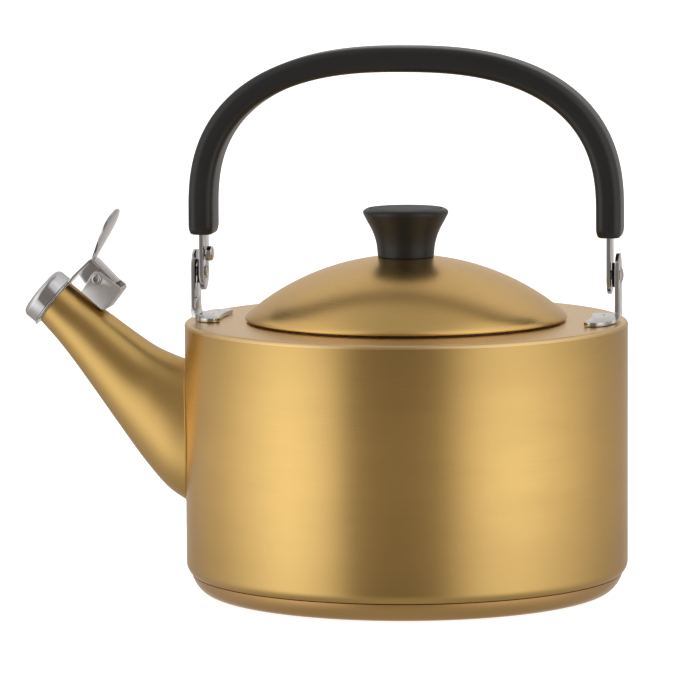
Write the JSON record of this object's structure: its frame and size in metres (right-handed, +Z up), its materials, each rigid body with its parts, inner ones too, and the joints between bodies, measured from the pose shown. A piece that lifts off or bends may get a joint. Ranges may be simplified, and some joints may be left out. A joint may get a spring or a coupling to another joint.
{
  "type": "stovetop whistling kettle",
  "caption": "Stovetop whistling kettle with a cylindrical brushed body, a domed lift-off lid, a side spout with a flip-up whistle cap and a folding bail handle.",
  "frame": {"origin": "centre of the flat underside of the base, on the body's axis", "axes": "+Z up the body's axis, the spout points to -X, the handle stands in the XZ plane"},
  "size_m": [0.2476, 0.1808, 0.2217],
  "materials": {
    "gold_steel": "fine circumferential brushing, warm gold tint",
    "polished_steel": "polished",
    "plain_steel": "plain",
    "core_aluminium": "plain",
    "black_grip": "soft matte",
    "black_washer": "plain"
  },
  "bodies": {
    "kettle": {"body_shell": "gold_steel", "top_plate": "gold_steel", "spout": "gold_steel", "base_cap": "gold_steel", "base_core": "core_aluminium", "whistle_bracket": "polished_steel", "lever_pin": "polished_steel", "handle_bracket_left": "polished_steel", "handle_bracket_right": "polished_steel", "pivot_rivet_left": "polished_steel", "pivot_rivet_right": "polished_steel", "pivot_washer_left": "black_washer", "pivot_washer_right": "black_washer"},
    "lid": {"lid_dome": "gold_steel", "lid_skirt": "gold_steel", "lid_knob": "black_grip", "knob_cap": "black_grip", "knob_washer": "plain_steel", "knob_screw": "plain_steel"},
    "whistle": {"whistle_cap": "polished_steel", "whistle_disc_inner": "plain_steel", "whistle_disc_outer": "plain_steel", "cap_lever": "polished_steel", "cap_spring": "plain_steel"},
    "handle": {"handle_strap": "polished_steel", "handle_grip": "black_grip", "stop_stud": "polished_steel"}
  },
  "joints": [
    {"name": "handle_fold", "type": "hinge", "parent": "kettle", "child": "handle", "pos_m": [0, 0, 0.1296], "axis": [1, 0, 0], "range_deg": [-95, 95]},
    {"name": "cap_open", "type": "hinge", "parent": "kettle", "child": "whistle", "pos_m": [-0.1266, 0, 0.1264], "axis": [0, 1, 0], "range_deg": [0, 55], "stiffness_Nm_per_rad": 0.02, "springref_deg": -28.65},
    {"name": "lid_lift", "type": "slide", "parent": "kettle", "child": "lid", "axis": [0, 0, 1], "range_m": [0, 0.045]}
  ]
}
